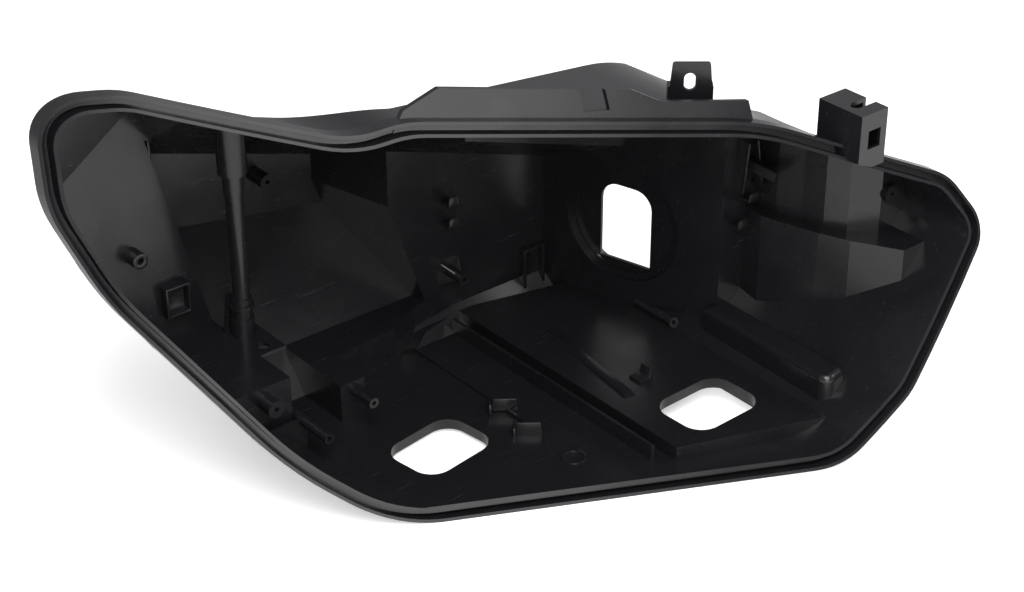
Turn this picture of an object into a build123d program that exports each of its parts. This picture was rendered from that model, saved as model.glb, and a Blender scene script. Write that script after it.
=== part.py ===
"""Bare back housing of a car headlamp: one injection moulding, open towards the lens.

+X runs across the car from the wing side to the grille side, -Y is the draw direction and the
front of the car, +Z is up. Heights are worked from the inner face of the floor while modelling,
and the finished part is then stood on its lowest point. Millimetres.
"""
import os
from math import sqrt

from build123d import *

WALL = 2.5                # general wall thickness
FRONT_Y, BACK_Y = -150.0, 330.0   # ends of the construction prisms along the draw

# Lens opening seen along the draw: corner X, corner Z, corner radius of the inner lip
LIP_CORNERS = [
    (-72, -1, 75), (-120, 40, 150), (-190, 151, 110), (-206, 205, 60), (-199, 264, 26),
    (-160, 266, 40), (-42, 228, 70), (-8, 236, 60), (205, 214, 130), (324, 161, 22),
    (342, 130, 16), (262, 38, 60), (208, 0, 50),
]
# Plan line of the rim: straight middle, swept back at the wing side, flatter at the grille side
RIM_SLOPE = 0.5           # Y lost per X along the straight middle
RIM_MID_Y = 6.0           # rim Y at X = 0, Z = 0
SWEEP_X, SWEEP_R = -60.0, 900.0
FLAT_X, FLAT_R = 180.0, 700.0
RAKE = 0.4                # Y gained per Z, the rim leans back

CHANNEL_WIDTH = 10.0      # over both lips of the glue channel
LIP_WIDTH = 2.2
CHANNEL_DEPTH = 9.0
CHANNEL_FLOOR = 2.5

FLOOR_Z = 0.0
PLATEAU_Z = 11.0          # raised floor at the grille side
SHELF_Z = 62.0            # ledge under the adjuster column
SHELF_X = -85.0           # its edge over the main floor
BACK_WALL_Y = 215.0
DEEP_WALL_Y = 290.0
CAP_FOOT_X, CAP_FOOT_Y = 243.0, 59.0   # front corner of the wall with the bulb window
CAP_WALL_LEAN = 0.269     # X lost per Y along that wall
LEDGE_Z = 112.0           # step round the grille side bay
HOLE_R = 16.0             # corners of the two floor openings
BOSS_D = 8.0               # outside of a screw boss
PILOT_D = 3.5              # its pilot hole
PILOT_DEPTH = 12.0
PILOT_FLOOR = 2.0          # least material left under a pilot hole


def lens_prism(grow):
    """Prism of the lens opening along the whole draw, offset outwards by grow."""
    with BuildPart() as prism:
        with BuildSketch(Plane.XZ.offset(-BACK_Y)):
            with BuildLine():
                FilletPolyline(*[(x, z) for x, z, _ in LIP_CORNERS],
                               radius=[r for _, _, r in LIP_CORNERS], close=True)
            make_face()
            if grow:
                offset(amount=grow, kind=Kind.ARC, mode=Mode.REPLACE)
        extrude(amount=BACK_Y - FRONT_Y)
    return prism.part


def wall_at(x=0.0, y=0.0, z=0.0, normal=(0, 1, 0)):
    """Plane of a wall through a point, its normal out of the space it closes."""
    return Plane(origin=(x, y, z), z_dir=normal)


def room(grow, *walls):
    """What of the lens prism lies inside all the given walls, grown by grow."""
    with BuildPart() as space:
        add(lens_prism(grow))
        for wall in walls:
            split(bisect_by=wall.offset(grow), keep=Keep.BOTTOM)
    return space.part


def bay(grow, plan, low, high):
    """Part of the lens prism over a plan outline, between two heights."""
    with BuildPart() as space:
        with BuildSketch(Plane.XY.offset(low - grow)):
            with BuildLine():
                Polyline(*plan, close=True)
            make_face()
            if grow:
                offset(amount=grow, kind=Kind.INTERSECTION, mode=Mode.REPLACE)
        extrude(amount=high - low + 2 * grow)
        add(lens_prism(grow), mode=Mode.INTERSECT)
    return space.part


def rim_front(behind):
    """Everything in front of the rim face moved back by behind."""
    low = -60.0
    y_low = behind + RAKE * low
    sine = RIM_SLOPE / sqrt(1 + RIM_SLOPE**2)
    cosine = 1 / sqrt(1 + RIM_SLOPE**2)
    sweep_end_x, flat_end_x = -260.0, 400.0
    sweep_y = RIM_MID_Y - RIM_SLOPE * SWEEP_X
    flat_y = RIM_MID_Y - RIM_SLOPE * FLAT_X
    sweep_sine = sine + (SWEEP_X - sweep_end_x) / SWEEP_R
    flat_sine = sine - (flat_end_x - FLAT_X) / FLAT_R
    sweep_end_y = sweep_y + SWEEP_R * (cosine - sqrt(1 - sweep_sine**2))
    flat_end_y = flat_y - FLAT_R * (sqrt(1 - flat_sine**2) - cosine)
    with BuildPart() as front:
        with BuildSketch(Plane.XY.offset(low)):
            with BuildLine():
                Line((SWEEP_X, sweep_y + y_low), (FLAT_X, flat_y + y_low))
                TangentArc((FLAT_X, flat_y + y_low), (flat_end_x, flat_end_y + y_low),
                           tangent=(1, -RIM_SLOPE))
                TangentArc((SWEEP_X, sweep_y + y_low), (sweep_end_x, sweep_end_y + y_low),
                           tangent=(-1, RIM_SLOPE))
                Polyline((flat_end_x, flat_end_y + y_low), (flat_end_x, -400),
                         (sweep_end_x, -400), (sweep_end_x, sweep_end_y + y_low))
            make_face()
        extrude(amount=400, dir=(0, RAKE, 1))
    return front.part


def band(inner, outer, front, back):
    """Ring round the opening between two offsets and two depths behind the rim face."""
    with BuildPart() as ring:
        add(lens_prism(outer))
        add(lens_prism(inner), mode=Mode.SUBTRACT)
        add(rim_front(back), mode=Mode.INTERSECT)
        add(rim_front(front), mode=Mode.SUBTRACT)
    return ring.part


# Walls that close the spaces, each with its normal pointing out of the space
FLOOR = wall_at(z=FLOOR_Z, normal=(0, 0, -1))
BACK_WALL = wall_at(y=BACK_WALL_Y)
SLOPE = wall_at(y=227, z=30, normal=(0, 1.17, -1))
CAP_WALL = wall_at(CAP_FOOT_X, CAP_FOOT_Y, normal=(1, CAP_WALL_LEAN, 0))
BUTTRESS_WALL = wall_at(y=CAP_FOOT_Y + 2)
BAY_SIDE = wall_at(x=256, normal=(1, 0, 0))
SHELF = wall_at(z=SHELF_Z, normal=(0, 0, -1))
SHELF_FRONT = wall_at(y=145)
SHELF_SIDE = wall_at(x=SHELF_X, normal=(-1, 0, 0))
WING_LOW = wall_at(-100, 244, SHELF_Z, normal=(-0.08, 1, -0.09))
WING_HIGH = wall_at(-150, 256, 178, normal=(-0.15, 1, 0.03))
WING_END = wall_at(-184, 252, 190, normal=(-1, 0.9, -0.32))
WING_SIDE = wall_at(-84, 0, 70, normal=(1, 0, 0.22))
DEEP_WALL = wall_at(y=DEEP_WALL_Y, normal=(0.1, 1, 0))
DEEP_LEFT = wall_at(-86, 0, 70, normal=(-1, 0, -0.24))
DEEP_RIGHT = wall_at(34, DEEP_WALL_Y, 0, normal=(1, 0.25, 0))
DEEP_RIGHT_LOW = wall_at(34, DEEP_WALL_Y, 120, normal=(1, 0.25, 0.35))
LOW_PART = wall_at(z=125, normal=(0, 0, 1))
CEILING = wall_at(z=290, normal=(0.336, 0.5, 1))
DEEP_CEILING = wall_at(z=325, normal=(0.336, 0.6, 1))
WING_CEILING = wall_at(z=320, normal=(0.336, 0.5, 1))

ROOMS = [
    (FLOOR, BACK_WALL, SLOPE, CAP_WALL, SHELF_SIDE, CEILING),
    (FLOOR, SHELF_FRONT, CAP_WALL),
    (FLOOR, BUTTRESS_WALL, BAY_SIDE),
    (SHELF, WING_LOW, WING_HIGH, WING_END, WING_SIDE, WING_CEILING),
    (FLOOR, SLOPE, DEEP_WALL, DEEP_LEFT, DEEP_RIGHT, DEEP_CEILING),
    (FLOOR, SLOPE, DEEP_WALL, DEEP_LEFT, DEEP_RIGHT_LOW, LOW_PART, CEILING),
]
# Plan outlines of the grille side bay under and over its ledge
LOW_BAY = [(150, 61), (266, 61), (264, 42), (270, 20), (277, -3), (286, -26), (305, -60),
           (360, -60), (360, FRONT_Y), (150, FRONT_Y)]
HIGH_BAY = [(150, 61), (276, 61), (277, 40), (283, 20), (287, 2), (295, -14), (312, -29),
            (360, -29), (360, FRONT_Y), (150, FRONT_Y)]


def inside(grow):
    """Whole space of the housing, or its outer form when grown by the wall."""
    with BuildPart() as space:
        for walls in ROOMS:
            add(room(grow, *walls))
        add(bay(grow, LOW_BAY, FLOOR_Z, LEDGE_Z))
        add(bay(grow, HIGH_BAY, LEDGE_Z, 260))
    return space.part


def boss(x, y, z, length, outer_d=BOSS_D):
    """Screw boss along the draw, its mouth at y and its foot length behind it."""
    with BuildPart() as post:
        with BuildSketch(Plane.XZ.offset(-y)):
            with Locations((x, z)):
                Circle(outer_d / 2)
        extrude(amount=-length)
    return post.part


def boss_bore(x, y, z, length, outer_d=BOSS_D):
    """Blind pilot hole in the mouth of that boss."""
    with BuildPart() as hole:
        with BuildSketch(Plane.XZ.offset(-y)):
            with Locations((x, z)):
                Circle(min(PILOT_D, outer_d) / 2)
        extrude(amount=-min(PILOT_DEPTH, length - PILOT_FLOOR))
    return hole.part


def block(plan, low, high):
    """Upright block over a plan outline."""
    with BuildPart() as piece:
        with BuildSketch(Plane.XY.offset(low)):
            with BuildLine():
                Polyline(*plan, close=True)
            make_face()
        extrude(amount=high - low)
    return piece.part


# Plan outlines on the floor
PLATEAU = [(114, 214), (114, -33), (236, -76), (241, -72), (238, -20), (244, 60), (209, 192)]
PLATEAU_UNDERSIDE = [(117, 205), (117, -26), (205, -57), (205, 187)]
TRUNK_Z = 30.0
TRUNK = [(-37, 155), (-16, 155), (-16, 190), (42, 196), (74, 212), (128, 216), (80, 228),
         (20, 232), (-37, 230)]
TRUNK_UNDERSIDE = [(-34, 158), (-19, 158), (-19, 193), (41, 199), (73, 212), (-34, 212)]
TRUNK_STEP = [(-16, 186), (44, 191), (78, 207), (132, 213), (128, 217), (-16, 195)]

HOLE_LENGTH, HOLE_WIDTH = 66.0, 50.0
WINDOW_X, WINDOW_Z = 220.0, 73.0   # middle of the bulb window on the leaning wall
CAP_R = 50.0

# Screw bosses: X, mouth Y, Z, length, outer diameter
BOSSES = [
    (-26, 130, 24, 28, 8), (-80, 108, 28, 40, 8), (-107, 130, 52, 18, 13),
    (108, 196, 47, 22, 9), (226, 90, 14, 40, 8),
    (-13, 272, 139, 20, 12), (318, -34, 143, 8, 14),
]

COLUMN_X, COLUMN_Y = -77.0, 215.0
# Adjuster column from the shelf up: radius, height of its top
COLUMN_STEPS = [(8.5, 76), (7.5, 84), (9, 87), (7.5, 92), (6.5, 176), (7.5, 190), (10.5, 236)]


def bar():
    """Rounded bar from the buttress towards the rim."""
    with BuildPart() as piece:
        with BuildSketch(Plane.XY.offset(-1)):
            with BuildLine():
                FilletPolyline((232, 66), (229, -66), (253, -62), (255, 66), radius=[0.5, 8, 8, 0.5],
                               close=True)
            make_face()
        extrude(amount=37)
        fillet(piece.faces().sort_by(Axis.Z)[-1].edges(), radius=5)
    return piece.part


def sleeve(x, y, floor, turn):
    """Ring under a floor opening."""
    with BuildPart() as piece:
        with BuildSketch(Plane.XY.offset(floor)):
            with Locations(Location((x, y), turn)):
                RectangleRounded(HOLE_LENGTH + 5, HOLE_WIDTH + 5, HOLE_R + 2.5)
        extrude(amount=-8)
    return piece.part


def sleeve_bore(x, y, floor, turn):
    """Clear way through a floor opening."""
    with BuildPart() as piece:
        with BuildSketch(Plane.XY.offset(floor + 20)):
            with Locations(Location((x, y), turn)):
                RectangleRounded(HOLE_LENGTH, HOLE_WIDTH, HOLE_R)
        extrude(amount=-50)
    return piece.part


def cap_plane(away=0.0):
    """Plane on the leaning wall at the cap's middle, its normal out of the housing."""
    y = CAP_FOOT_Y + (CAP_FOOT_X - WINDOW_X) / CAP_WALL_LEAN
    return Plane(origin=(WINDOW_X, y, WINDOW_Z + 7), x_dir=(-CAP_WALL_LEAN, 1, 0),
                 z_dir=(1, CAP_WALL_LEAN, 0)).offset(away)


def cap_collar():
    """Round collar that carries the bulb cap outside."""
    with BuildPart() as piece:
        with BuildSketch(cap_plane(0.5)):
            Circle(CAP_R + WALL)
        extrude(amount=16)
    return piece.part


def cap_recess():
    """Two round steps sunk into the leaning wall from inside, and the open cap seat outside."""
    with BuildPart() as piece:
        for radius, depth in ((CAP_R, 4.0), (CAP_R - 5, 7.0)):
            with BuildSketch(cap_plane(-1)):
                Circle(radius)
            extrude(amount=1 + depth)
        with BuildSketch(cap_plane(7 + WALL)):
            Circle(CAP_R - 2)
        extrude(amount=12)
    return piece.part


def window():
    """Bulb window: round top corners, sharp foot."""
    with BuildPart() as piece:
        with BuildSketch(cap_plane(-10)):
            with BuildLine():
                FilletPolyline((-22, -38), (23, -38), (23, 26), (-22, 26),
                               radius=[0.5, 0.5, 15, 15], close=True)
            make_face()
        extrude(amount=60)
    return piece.part


def column():
    """Stepped adjuster column with the plate at its foot."""
    with BuildPart() as piece:
        low = SHELF_Z - 1
        for radius, top in COLUMN_STEPS:
            with BuildSketch(Plane.XY.offset(low)):
                with Locations((COLUMN_X, COLUMN_Y)):
                    Circle(radius)
            extrude(amount=top - low)
            low = top
        with BuildSketch(Plane.XY.offset(SHELF_Z - WALL)):
            with Locations((-76, 206)):
                Rectangle(26, 48)
            with Locations((-76, 192)):
                Circle(4.2, mode=Mode.SUBTRACT)
        extrude(amount=WALL)
        with BuildSketch(Plane.XZ.offset(-222)):
            with BuildLine():
                Polyline((-88, SHELF_Z - 1), (-66, SHELF_Z - 1), (-70, 92), (-84, 92), close=True)
            make_face()
        extrude(amount=-2.5)
    return piece.part


def edge_plate():
    """Upright edge plate behind the top of the rim, with its notch and low end."""
    with BuildPart() as piece:
        with BuildSketch(Plane.XZ.offset(-BACK_Y)):
            with BuildLine():
                Polyline((-14, 236), (-4, 250), (20, 262), (136, 249), (152, 240), (206, 235),
                         (206, 214), (-14, 228), close=True)
            make_face()
            with Locations((111, 248)):
                Rectangle(16, 20, mode=Mode.SUBTRACT)
        extrude(amount=BACK_Y - FRONT_Y)
        add(rim_front(CHANNEL_DEPTH + CHANNEL_FLOOR), mode=Mode.INTERSECT)
        add(rim_front(CHANNEL_DEPTH - 1), mode=Mode.SUBTRACT)
        add(lens_prism(WALL / 2), mode=Mode.SUBTRACT)
    return piece.part


def tab_one():
    """Tapered fixing tab with an oval hole, facing the rim's normal."""
    plane = Plane(origin=(188, 44, 216), x_dir=(0.77, -0.63, 0), z_dir=(-0.63, -0.77, 0))
    with BuildPart() as piece:
        with BuildSketch(plane):
            with BuildLine():
                FilletPolyline((-17, -6), (17, -6), (13, 40), (-13, 40), radius=[0.5, 0.5, 2, 2],
                               close=True)
            make_face()
            with Locations((-1, 26)):
                SlotCenterToCenter(5, 8, rotation=90, mode=Mode.SUBTRACT)
        extrude(amount=3)
        with BuildSketch(plane):
            for side in (-14.5, 14.5):
                with Locations((side, 8)):
                    Rectangle(2.5, 26)
        extrude(amount=-10)
    return piece.part


def bracket():
    """Open box bracket with a slot in its top, standing behind the grille side of the rim."""
    with BuildPart() as piece:
        with BuildSketch(Plane.XY.offset(186)):
            with Locations((270, -32)):
                Rectangle(26, 40)
        extrude(amount=42)
        with BuildSketch(Plane.XY.offset(196)):
            with Locations((270, -32)):
                Rectangle(21, 35)
        extrude(amount=29, mode=Mode.SUBTRACT)
        with BuildSketch(Plane.XY.offset(220)):
            with Locations((275, -36)):
                SlotCenterToCenter(14, 9)
        extrude(amount=20, mode=Mode.SUBTRACT)
        with BuildSketch(Plane.XZ.offset(0)):
            with Locations((271, 208)):
                Rectangle(12, 14)
        extrude(amount=70, mode=Mode.SUBTRACT)
        add(lens_prism(WALL / 2), mode=Mode.SUBTRACT)
    return piece.part


outer_form = inside(WALL)

# What stands inside, trimmed to the outer form
with BuildPart() as fittings:
    # Raised floor at the grille side, with two guide ribs beside it
    add(block(PLATEAU, -WALL, PLATEAU_Z))
    for x, y, top in ((101, -21, 12), (62, 60, 2.5)):
        add(block([(x, y), (x + 2.5, y - 1), (x + 2.5, 203), (x, 203)], -1, top))
    add(block(TRUNK, -1, TRUNK_Z))
    add(block(TRUNK_STEP, -1, 10))
    add(bar())
    add(column())
    add(block([(-108, 138), (-78, 138), (-78, 140.5), (-108, 140.5)], -1, 30))
    for place in BOSSES:
        add(boss(*place))
    add(outer_form, mode=Mode.INTERSECT)

with BuildPart() as housing:
    # Shell and rim
    add(outer_form)
    add(inside(0), mode=Mode.SUBTRACT)
    add(fittings)
    add(rim_front(0), mode=Mode.SUBTRACT)
    add(band(0, CHANNEL_WIDTH, 0, CHANNEL_DEPTH + CHANNEL_FLOOR))
    add(band(LIP_WIDTH, CHANNEL_WIDTH - LIP_WIDTH, -5, CHANNEL_DEPTH), mode=Mode.SUBTRACT)
    # Hollow undersides of the raised floor and the trunk
    add(block(PLATEAU_UNDERSIDE, -20, PLATEAU_Z - WALL), mode=Mode.SUBTRACT)
    add(block(TRUNK_UNDERSIDE, -20, TRUNK_Z - WALL), mode=Mode.SUBTRACT)
    # Floor openings with short sleeves below
    for x, y, floor, turn in ((-2, 86, FLOOR_Z, 8), (170, -6, PLATEAU_Z, 2)):
        add(sleeve(x, y, floor, turn))
        add(sleeve_bore(x, y, floor, turn), mode=Mode.SUBTRACT)
    # Bulb access: stepped collar behind the leaning wall and the window through it
    add(cap_collar())
    add(cap_recess(), mode=Mode.SUBTRACT)
    add(window(), mode=Mode.SUBTRACT)
    # Edge plate, fixing tab and bracket outside
    add(edge_plate())
    add(tab_one())
    add(bracket())
    # Pilot holes last, so that nothing fills them
    for place in BOSSES:
        add(boss_bore(*place), mode=Mode.SUBTRACT)

# Stand on the lowest point, over the middle of the footprint
box = housing.part.bounding_box()
middle = box.center()
housing.part = housing.part.translate((-middle.X, -middle.Y, -box.min.Z))
print("moved by", -middle.X, -middle.Y, -box.min.Z)

housing.part.label = "housing"
os.makedirs("parts", exist_ok=True)
export_step(housing.part, "parts/housing.step")
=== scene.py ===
"""Headlamp housing: finish, small moulded details and a plain studio."""

import math

import bpy
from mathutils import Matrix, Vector


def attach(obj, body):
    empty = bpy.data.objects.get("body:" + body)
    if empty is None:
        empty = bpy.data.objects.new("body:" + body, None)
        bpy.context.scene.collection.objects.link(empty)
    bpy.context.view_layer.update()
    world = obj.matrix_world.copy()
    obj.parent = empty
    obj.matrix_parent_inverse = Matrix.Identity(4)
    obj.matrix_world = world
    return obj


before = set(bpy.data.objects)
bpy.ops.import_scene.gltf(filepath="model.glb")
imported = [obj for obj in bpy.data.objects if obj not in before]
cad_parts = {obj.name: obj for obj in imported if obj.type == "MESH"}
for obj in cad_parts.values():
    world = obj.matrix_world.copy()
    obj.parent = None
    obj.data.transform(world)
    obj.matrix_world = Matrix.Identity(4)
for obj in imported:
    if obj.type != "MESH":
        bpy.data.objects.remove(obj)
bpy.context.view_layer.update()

bl_info = {
    "name": "Headlamp housing",
    "version": (1, 0, 0),
    "blender": (4, 5, 0),
    "location": "View3D > Sidebar > Housing",
    "description": "Dresses a moulded headlamp housing and sets up its studio",
    "category": "Object",
}

MM = 0.001
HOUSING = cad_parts["housing"]
BODY = "root"
# Inner floor corner that the moulding's drawing sizes start from, in the row frame, mm
DATUM = Vector((-66.727, -97.795, 10.901))
ALONG_DRAW = Vector((0, 1, 0))
DOWN = Vector((0, 0, -1))
SINK = 1.5                # mm that a detail is sunk into the wall that carries it
SMOOTH_ANGLE = math.radians(35)
EDGE_ROUND = 0.4          # mm, on every detail's edges
FACING = 0.9              # least part of a normal along an axis for a face to face that way
DRAFT = 0.85              # size of a plate's far end against its foot
# The Mix node's colour sockets, which share their names with its other kinds
MIX_FIRST, MIX_SECOND, MIX_COLOUR = 6, 7, 2


def at(x, y, z):
    """Point of the moulding's own drawing, mm, as metres in the row frame."""
    return (Vector((x, y, z)) + DATUM) * MM


def linear(hex_colour):
    """Linear RGB of an sRGB hex colour."""
    parts = [int(hex_colour[i:i + 2], 16) / 255 for i in (0, 2, 4)]
    return tuple(c / 12.92 if c <= 0.04045 else ((c + 0.055) / 1.055) ** 2.4 for c in parts)


# ---- Where details sit -------------------------------------------------------------

def wall_behind(x, y, z):
    """Y, mm in the drawing, of the wall reached along the draw from a point in front of it."""
    hit, place, _, _ = HOUSING.ray_cast(at(x, y, z), ALONG_DRAW)
    if not hit:
        raise RuntimeError(f"no wall behind {x}, {y}, {z}")
    return place.y / MM - DATUM.y


def floor_below(x, y, z):
    """Z, mm in the drawing, of the surface under a point."""
    hit, place, _, _ = HOUSING.ray_cast(at(x, y, z), DOWN)
    if not hit:
        raise RuntimeError(f"no floor below {x}, {y}, {z}")
    return place.z / MM - DATUM.z


# ---- Modelling helpers -------------------------------------------------------------

def choose(ob):
    """Makes ob the only selected object."""
    bpy.ops.object.select_all(action="DESELECT")
    bpy.context.view_layer.objects.active = ob
    ob.select_set(True)


def edit(ob, chosen=None, what="FACE"):
    """Enters edit mode with all of ob selected, or the faces or corners that chosen takes."""
    choose(ob)
    bpy.ops.object.mode_set(mode="EDIT")
    bpy.ops.mesh.select_mode(type=what)
    bpy.ops.mesh.select_all(action="SELECT" if chosen is None else "DESELECT")
    if chosen is not None:
        bpy.ops.object.mode_set(mode="OBJECT")
        for element in ob.data.polygons if what == "FACE" else ob.data.vertices:
            element.select = bool(chosen(element))
        bpy.ops.object.mode_set(mode="EDIT")


def leave():
    bpy.ops.object.mode_set(mode="OBJECT")


def shift(ob, x, y, z, chosen=None):
    """Moves all corners of ob, or the chosen ones, by mm."""
    edit(ob, chosen, "VERT")
    bpy.ops.transform.translate(value=(x * MM, y * MM, z * MM))
    leave()


def block(name, size):
    """A cube of size mm about the origin, ready to be shaped."""
    bpy.ops.object.select_all(action="DESELECT")
    bpy.ops.mesh.primitive_cube_add(size=1)
    ob = bpy.context.object
    ob.name = name
    ob.scale = Vector(size) * MM
    choose(ob)
    bpy.ops.object.transform_apply(location=False, rotation=False, scale=True)
    return ob


def settle(ob, place, turn=(0, 0, 0)):
    """Turns ob by degrees and puts it at place, with its place in its mesh."""
    ob.rotation_euler = [math.radians(a) for a in turn]
    ob.location = at(*place)
    choose(ob)
    bpy.ops.object.transform_apply(location=True, rotation=True, scale=True)
    return ob


def finish_piece(ob, material, rounding=EDGE_ROUND):
    """Rounds and smooths a piece, gives it the plastic and fixes it to the housing."""
    edges = ob.modifiers.new("rounding", "BEVEL")
    edges.width = rounding * MM
    edges.segments = 2
    edges.limit_method = "ANGLE"
    edges.angle_limit = SMOOTH_ANGLE
    choose(ob)
    bpy.ops.object.modifier_apply(modifier="rounding")
    edit(ob)
    bpy.ops.mesh.normals_make_consistent(inside=False)
    leave()
    choose(ob)
    bpy.ops.object.shade_smooth_by_angle(angle=SMOOTH_ANGLE)
    ob.data.materials.clear()
    ob.data.materials.append(material)
    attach(ob, BODY)


def plate(name, centre, size, turn=(0, 0, 0), taper=DRAFT):
    """A moulded plate: a block whose upper end is drawn in by the mould's draft."""
    ob = block(name, size)
    edit(ob, lambda face: face.normal.z > FACING)
    bpy.ops.transform.resize(value=(taper, taper, 1))
    leave()
    return settle(ob, centre, turn)


def gusset(name, foot, run, rise, thick, turn):
    """Triangular stiffening rib: run mm along the wall, rise mm away from it (-Y)."""
    tip = 0.18                # height of its low end against its high one
    ob = block(name, (run, rise, thick))
    shift(ob, 0, (1 - tip) * rise, 0, lambda corner: corner.co.x > 0 > corner.co.y)
    shift(ob, run / 2, -rise / 2, 0)
    return settle(ob, foot, turn)


def hook(name, foot, width, reach, rise, thick, turn=(0, 0, 0)):
    """L-shaped snap hook: a blade that stands reach mm off the wall (-Y) with a nose up (+Z)."""
    nose_draft = (0.8, 0.6, 1)
    ob = block(name, (width, reach, thick))
    shift(ob, 0, -reach / 2, 0)
    nose = -(reach - thick) * MM
    edit(ob)
    bpy.ops.mesh.bisect(plane_co=(0, nose, 0), plane_no=(0, 1, 0))
    leave()
    edit(ob, lambda face: face.normal.z > FACING and face.center.y < nose)
    bpy.ops.mesh.extrude_region_move(TRANSFORM_OT_translate={"value": (0, 0, rise * MM)})
    bpy.ops.transform.resize(value=nose_draft)
    leave()
    return settle(ob, foot, turn)


def pin(name, foot, radius, length, hole, turn=(90, 0, 0), sides=32):
    """Round boss that stands length mm off its foot, with a blind hole in its end."""
    hole_depth = 0.7 * length
    bpy.ops.object.select_all(action="DESELECT")
    bpy.ops.mesh.primitive_cylinder_add(vertices=sides, radius=radius * MM, depth=length * MM)
    ob = bpy.context.object
    ob.name = name
    shift(ob, 0, 0, length / 2)
    edit(ob, lambda face: face.normal.z > FACING)
    bpy.ops.mesh.inset(thickness=(radius - hole) * MM)
    bpy.ops.mesh.extrude_region_move(TRANSFORM_OT_translate={"value": (0, 0, -hole_depth * MM)})
    leave()
    return settle(ob, foot, turn)


def tray(name, centre, size, wall):
    """A block with a pocket sunk in its front face (-Y)."""
    pocket_depth = 0.75 * size[1]
    ob = block(name, size)
    edit(ob, lambda face: face.normal.y < -FACING)
    bpy.ops.mesh.inset(thickness=wall * MM)
    bpy.ops.mesh.extrude_region_move(TRANSFORM_OT_translate={"value": (0, pocket_depth * MM, 0)})
    leave()
    return settle(ob, centre)


# ---- Finishes ----------------------------------------------------------------------

def add_node(owner, kind, settings=None, values=None, links=None):
    """Adds a node to a material or world with its settings, socket values and links."""
    node = owner.node_tree.nodes.new(kind)
    for name, value in (settings or {}).items():
        setattr(node, name, value)
    for socket, value in (values or {}).items():
        node.inputs[socket].default_value = value
    for socket, source in (links or {}).items():
        owner.node_tree.links.new(source, node.inputs[socket])
    return node


def clear_nodes(owner):
    owner.use_nodes = True
    owner.node_tree.nodes.clear()
    return owner


def moulded_polypropylene(name, colour, roughness, grain, grain_depth, tear=0.0):
    """Injection moulded black polypropylene. The spark-eroded mould leaves a fine grain that
    breaks highlights up, melt flow gives soft patches of gloss, and handling leaves faint
    scuffs that are a little paler and rougher. The grain is drawn at about 1.2 mm so that it
    shows; a real one is nearer 0.2 mm. Where a clip was torn off, tear deepens it."""
    flow_patch = 0.06                  # m
    gloss_spread = (-0.06, 0.08)       # of the roughness over the flow patches
    scuff_turn, scuff_stretch = (0.5, 0.2, 0.9), (30, 700, 260)
    scuff_roughness = 0.12
    grain_strength = 0.35
    polypropylene_ior = 1.49
    pale = [min(1.0, c * 2.2 + 0.004) for c in colour]

    plastic = clear_nodes(bpy.data.materials.new(name))
    where = add_node(plastic, "ShaderNodeTexCoord").outputs["Object"]
    grained = add_node(plastic, "ShaderNodeTexNoise", None,
                       {"Scale": 1 / grain, "Detail": 3.0, "Roughness": 0.6},
                       {"Vector": where})
    flow = add_node(plastic, "ShaderNodeTexNoise", None,
                    {"Scale": 1 / flow_patch, "Detail": 4.0, "Distortion": 0.8},
                    {"Vector": where})
    stretched = add_node(plastic, "ShaderNodeMapping", None,
                         {"Rotation": scuff_turn, "Scale": scuff_stretch}, {"Vector": where})
    scuff = add_node(plastic, "ShaderNodeTexNoise", None,
                     {"Scale": 1.0, "Detail": 5.0, "Roughness": 0.65},
                     {"Vector": stretched.outputs["Vector"]})
    scuffed = add_node(plastic, "ShaderNodeMapRange", None,
                       {"From Min": 0.62, "From Max": 0.74},
                       {"Value": scuff.outputs["Fac"]}).outputs["Result"]
    gloss = add_node(plastic, "ShaderNodeMapRange", None,
                     {"From Min": 0.3, "From Max": 0.7, "To Min": roughness + gloss_spread[0],
                      "To Max": roughness + gloss_spread[1]},
                     {"Value": flow.outputs["Fac"]}).outputs["Result"]
    rough = add_node(plastic, "ShaderNodeMath", {"operation": "MULTIPLY_ADD"},
                     {1: scuff_roughness}, {0: scuffed, 2: gloss})
    tint = add_node(plastic, "ShaderNodeMix", {"data_type": "RGBA"},
                    {MIX_FIRST: (*colour, 1), MIX_SECOND: (*pale, 1)}, {"Factor": scuffed})
    bump = add_node(plastic, "ShaderNodeBump", None,
                    {"Strength": grain_strength + tear, "Distance": grain_depth * MM},
                    {"Height": grained.outputs["Fac"]})
    surface = add_node(plastic, "ShaderNodeBsdfPrincipled", None,
                       {"IOR": polypropylene_ior, "Metallic": 0.0},
                       {"Base Color": tint.outputs[MIX_COLOUR],
                        "Roughness": rough.outputs["Value"],
                        "Normal": bump.outputs["Normal"]})
    add_node(plastic, "ShaderNodeOutputMaterial", links={"Surface": surface.outputs["BSDF"]})
    return plastic


def moulded_plastic():
    """The housing's plastic, made once."""
    name = "moulded_black_polypropylene"
    look = bpy.context.scene.housing_finish
    return bpy.data.materials.get(name) or moulded_polypropylene(
        name, look.colour, look.roughness, look.grain, 0.05)


def torn_plastic():
    """The same plastic where a clip was torn off: coarse and dull."""
    look = bpy.context.scene.housing_finish
    return moulded_polypropylene("torn_black_polypropylene", look.colour, 0.5, 3.0 * MM, 0.6,
                                 tear=0.5)


# ---- Sizes and colours a user may change -------------------------------------------

class HousingFinish(bpy.types.PropertyGroup):
    """The plastic's look"""
    colour: bpy.props.FloatVectorProperty(
        name="Plastic colour", description="Colour of the plastic", subtype="COLOR",
        default=linear("151517"), min=0.0, max=1.0)
    roughness: bpy.props.FloatProperty(
        name="Roughness", description="Roughness of the moulded skin", subtype="FACTOR",
        default=0.24, min=0.05, max=1.0)
    grain: bpy.props.FloatProperty(
        name="Grain", description="Width of the drawn mould grain", unit="LENGTH",
        default=1.2 * MM, min=0.2 * MM, precision=5)


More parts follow.
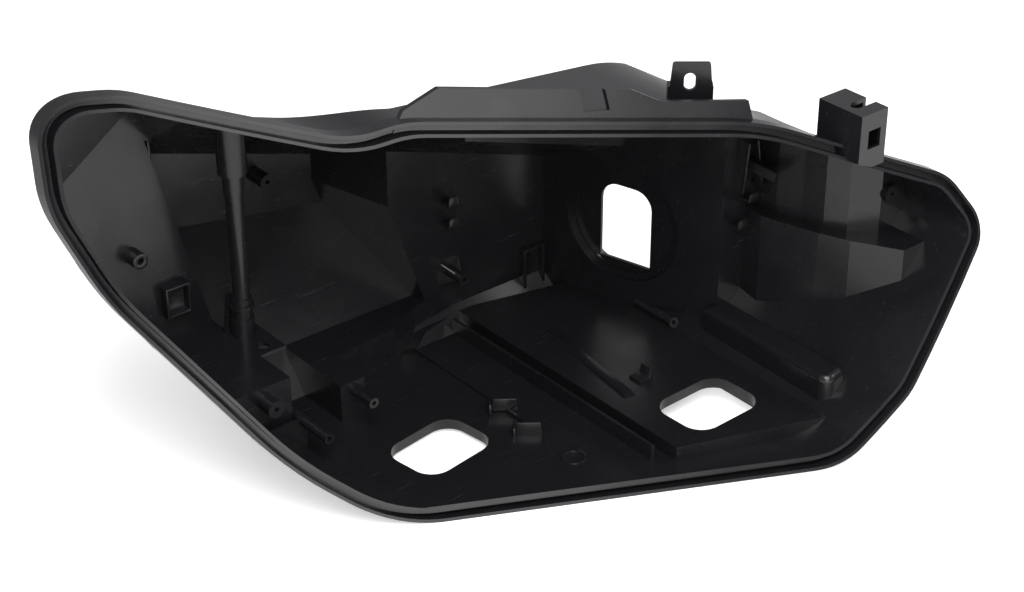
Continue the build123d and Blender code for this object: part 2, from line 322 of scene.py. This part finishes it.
class HousingStage(bpy.types.PropertyGroup):
    """The studio's lamps and lens"""
    key_power: bpy.props.FloatProperty(
        name="Key lamp", description="Power of the large soft lamp overhead", unit="POWER",
        default=34.0)
    lens: bpy.props.FloatProperty(
        name="Lens", description="Focal length on a 36 mm sensor", unit="CAMERA",
        default=77.34)


# ---- Operators ---------------------------------------------------------------------

class HOUSING_OT_finish(bpy.types.Operator):
    """Gives the shell its moulded plastic"""
    bl_idname = "housing.finish"
    bl_label = "Shell finish"

    def execute(self, context):
        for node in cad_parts.values():
            node.data.materials.clear()
            node.data.materials.append(moulded_plastic())
        return {"FINISHED"}


class HOUSING_OT_boss_ribs(bpy.types.Operator):
    """Four stiffening ribs round the boss on the back wall"""
    bl_idname = "housing.boss_ribs"
    bl_label = "Boss ribs"

    def execute(self, context):
        x, z = 108, 47
        clear_of_boss = 9
        wall = wall_behind(x + clear_of_boss, 150, z + clear_of_boss)
        for index in range(4):
            rib = gusset(f"boss_rib_{index + 1}", (x, wall + SINK, z), run=13, rise=18,
                         thick=1.6, turn=(0, 90 * index + 45, 0))
            finish_piece(rib, moulded_plastic())
        return {"FINISHED"}


class HOUSING_OT_floor_clips(bpy.types.Operator):
    """L-clips, a locating strip, a clip beside it and the gate mark on the floor"""
    bl_idname = "housing.floor_clips"
    bl_label = "Floor clips"

    def execute(self, context):
        over_floor = 30
        for index, (x, y, turn) in enumerate(((62, 92, 0), (58, 60, 180))):
            foot = floor_below(x, y, over_floor) - SINK
            across = (0, 0, turn - 38)
            blade = plate(f"floor_clip_{index + 1}", (x, y, foot + 5), (20, 2, 10), across)
            finish_piece(blade, moulded_plastic())
            nose = plate(f"floor_clip_nose_{index + 1}", (x - 8, y + 7, foot + 4), (2, 14, 8),
                         across)
            finish_piece(nose, moulded_plastic())
        foot = floor_below(62, 16, over_floor) - SINK
        gate = pin("gate_mark", (62, 16, foot), radius=9, length=SINK + 0.8, hole=6.5,
                   turn=(0, 0, 0), sides=64)
        finish_piece(gate, moulded_plastic(), EDGE_ROUND / 2)
        top = floor_below(141, 90, 60)
        strip = plate("locating_strip", (141, 90, top - SINK + 1.8), (9, 118, 3.6), (0, 0, -8))
        finish_piece(strip, moulded_plastic())
        clip = hook("plateau_clip", (150, 50, top + 1), width=12, reach=12, rise=7, thick=2,
                    turn=(0, 0, 90))
        finish_piece(clip, moulded_plastic())
        return {"FINISHED"}


class HOUSING_OT_wall_hooks(bpy.types.Operator):
    """Hooks, rails and the bevelled pocket on the back and side walls"""
    bl_idname = "housing.wall_hooks"
    bl_label = "Wall hooks"

    def execute(self, context):
        wall = wall_behind(105, 190, 98)
        for name, z in (("wall_hook_low", 90), ("wall_hook_high", 108)):
            finish_piece(hook(name, (105, wall + SINK, z), width=9, reach=13, rise=6,
                              thick=2.2), moulded_plastic())
        wall = wall_behind(186, 190, 24)
        pocket = tray("bevelled_pocket", (188, wall + SINK - 4, 24), (21, 8, 36), wall=2.4)
        finish_piece(pocket, moulded_plastic())
        for index, (x, z) in enumerate(((256, 101), (266, 120))):
            wall = wall_behind(x, 35, z)
            finish_piece(hook(f"bay_hook_{index + 1}", (x, wall + SINK, z), width=10, reach=11,
                              rise=5, thick=2), moulded_plastic())
        wall = wall_behind(262, 35, 149)
        for index, (x, lean) in enumerate(((256, 8), (270, -8))):
            rail = plate(f"bay_rail_{index + 1}", (x, wall + SINK - 6, 149), (2.2, 12, 40),
                         (0, lean, 0), taper=0.8)
            finish_piece(rail, moulded_plastic())
        return {"FINISHED"}


class HOUSING_OT_wing_details(bpy.types.Operator):
    """Pins, the square pocket and fins of the wing"""
    bl_idname = "housing.wing_details"
    bl_label = "Wing details"

    def execute(self, context):
        before_wing = 180
        for name, x, z, length in (("wing_pin_block", -142, 134, 13),
                                   ("wing_boss", -97, 129, 10)):
            wall = wall_behind(x, before_wing, z)
            finish_piece(pin(name, (x, wall + SINK, z), radius=6, length=length, hole=2.2),
                         moulded_plastic())
        wall = wall_behind(-114, 175, 92)
        pocket = tray("wing_pocket", (-114, wall + SINK - 5, 92), (20, 10, 24), wall=2)
        finish_piece(pocket, moulded_plastic())
        for index, (x, z) in enumerate(((-114, 200), (-109, 178))):
            wall = wall_behind(x, before_wing, z)
            fin = plate(f"wing_fin_{index + 1}", (x, wall + SINK - 7, z), (2, 14, 20))
            finish_piece(fin, moulded_plastic())
        return {"FINISHED"}


class HOUSING_OT_bay_details(bpy.types.Operator):
    """The wedge bracket of the grille side bay, with its torn finish"""
    bl_idname = "housing.bay_details"
    bl_label = "Bay details"

    def execute(self, context):
        wall = wall_behind(262, -25, 149)
        wedge = gusset("wedge_bracket", (262, wall + SINK, 149), run=30, rise=34, thick=7,
                       turn=(0, 20, 0))
        finish_piece(wedge, torn_plastic())
        return {"FINISHED"}


class HOUSING_OT_stage(bpy.types.Operator):
    """Pale floor, soft lamps and the camera"""
    bl_idname = "housing.stage"
    bl_label = "Studio"

    def execute(self, context):
        scene = context.scene
        look = scene.housing_stage
        self.lay_floor()
        self.light_room(scene)
        self.hang_lamps(scene, look.key_power)
        self.place_camera(scene, look.lens)
        scene.view_settings.view_transform = "Standard"
        return {"FINISHED"}

    def lay_floor(self):
        floor_size = 12
        bpy.ops.object.select_all(action="DESELECT")
        bpy.ops.mesh.primitive_plane_add(size=floor_size)
        floor = bpy.context.object
        floor.name = "studio_floor"
        paper = clear_nodes(bpy.data.materials.new("pale_paper"))
        seen = add_node(paper, "ShaderNodeLightPath").outputs["Is Camera Ray"]
        matt = add_node(paper, "ShaderNodeBsdfDiffuse", None, {"Color": (0.85, 0.85, 0.85, 1)})
        glow = add_node(paper, "ShaderNodeEmission", None, {"Color": (0.45, 0.45, 0.45, 1)},
                        {"Strength": seen})
        both = add_node(paper, "ShaderNodeAddShader",
                        links={0: matt.outputs[0], 1: glow.outputs[0]})
        add_node(paper, "ShaderNodeOutputMaterial", links={"Surface": both.outputs[0]})
        floor.data.materials.append(paper)

    def light_room(self, scene):
        room = clear_nodes(bpy.data.worlds.new("studio"))
        scene.world = room
        seen = add_node(room, "ShaderNodeLightPath").outputs["Is Camera Ray"]
        fill = add_node(room, "ShaderNodeBackground", None,
                        {"Color": (0.8, 0.8, 0.82, 1), "Strength": 0.55})
        backdrop = add_node(room, "ShaderNodeBackground", None,
                            {"Color": (1, 1, 1, 1), "Strength": 1.0})
        pick = add_node(room, "ShaderNodeMixShader",
                        links={"Fac": seen, 1: fill.outputs[0], 2: backdrop.outputs[0]})
        add_node(room, "ShaderNodeOutputWorld", links={"Surface": pick.outputs[0]})

    def hang_lamps(self, scene, key_power):
        middle = Vector((0, 0, 0.12))
        # Name, place, side of the square lamp, share of the key lamp's power
        lamps = (("key", (-0.5, -0.9, 1.5), 1.2, 1.0),
                 ("side", (1.4, -0.5, 0.9), 1.0, 0.45),
                 ("front", (-0.9, -1.6, 0.5), 1.2, 0.35))
        for name, place, size, share in lamps:
            lamp = bpy.data.lights.new(name, "AREA")
            lamp.size = size
            lamp.energy = key_power * share
            ob = bpy.data.objects.new(name, lamp)
            ob.location = place
            ob.rotation_euler = (middle - ob.location).to_track_quat("-Z", "Y").to_euler()
            scene.collection.objects.link(ob)

    def place_camera(self, scene, lens):
        camera = bpy.data.cameras.new("camera")
        camera.sensor_width = 36
        camera.lens = lens
        ob = bpy.data.objects.new("camera", camera)
        ob.location = (-0.84963, -1.03899, 0.87763)
        ob.rotation_euler = (math.radians(60), 0, math.radians(-39.5))
        scene.collection.objects.link(ob)
        scene.camera = ob


class HOUSING_PT_panel(bpy.types.Panel):
    """Lists the housing's pieces"""
    bl_label = "Housing"
    bl_space_type = "VIEW_3D"
    bl_region_type = "UI"
    bl_category = "Housing"

    def draw(self, context):
        for operator in OPERATORS:
            self.layout.operator(operator.bl_idname)
        for group in (context.scene.housing_finish, context.scene.housing_stage):
            for name in group.__annotations__:
                self.layout.prop(group, name)


OPERATORS = (HOUSING_OT_finish, HOUSING_OT_boss_ribs, HOUSING_OT_floor_clips,
             HOUSING_OT_wall_hooks, HOUSING_OT_wing_details, HOUSING_OT_bay_details,
             HOUSING_OT_stage)
CLASSES = (HousingFinish, HousingStage) + OPERATORS + (HOUSING_PT_panel,)


def register():
    for cls in CLASSES:
        bpy.utils.register_class(cls)
    bpy.types.Scene.housing_finish = bpy.props.PointerProperty(type=HousingFinish)
    bpy.types.Scene.housing_stage = bpy.props.PointerProperty(type=HousingStage)


def unregister():
    del bpy.types.Scene.housing_stage
    del bpy.types.Scene.housing_finish
    for cls in reversed(CLASSES):
        bpy.utils.unregister_class(cls)


def main():
    register()
    for operator in OPERATORS:
        getattr(bpy.ops.housing, operator.bl_idname.split(".")[1])()


if __name__ == "__main__":
    main()
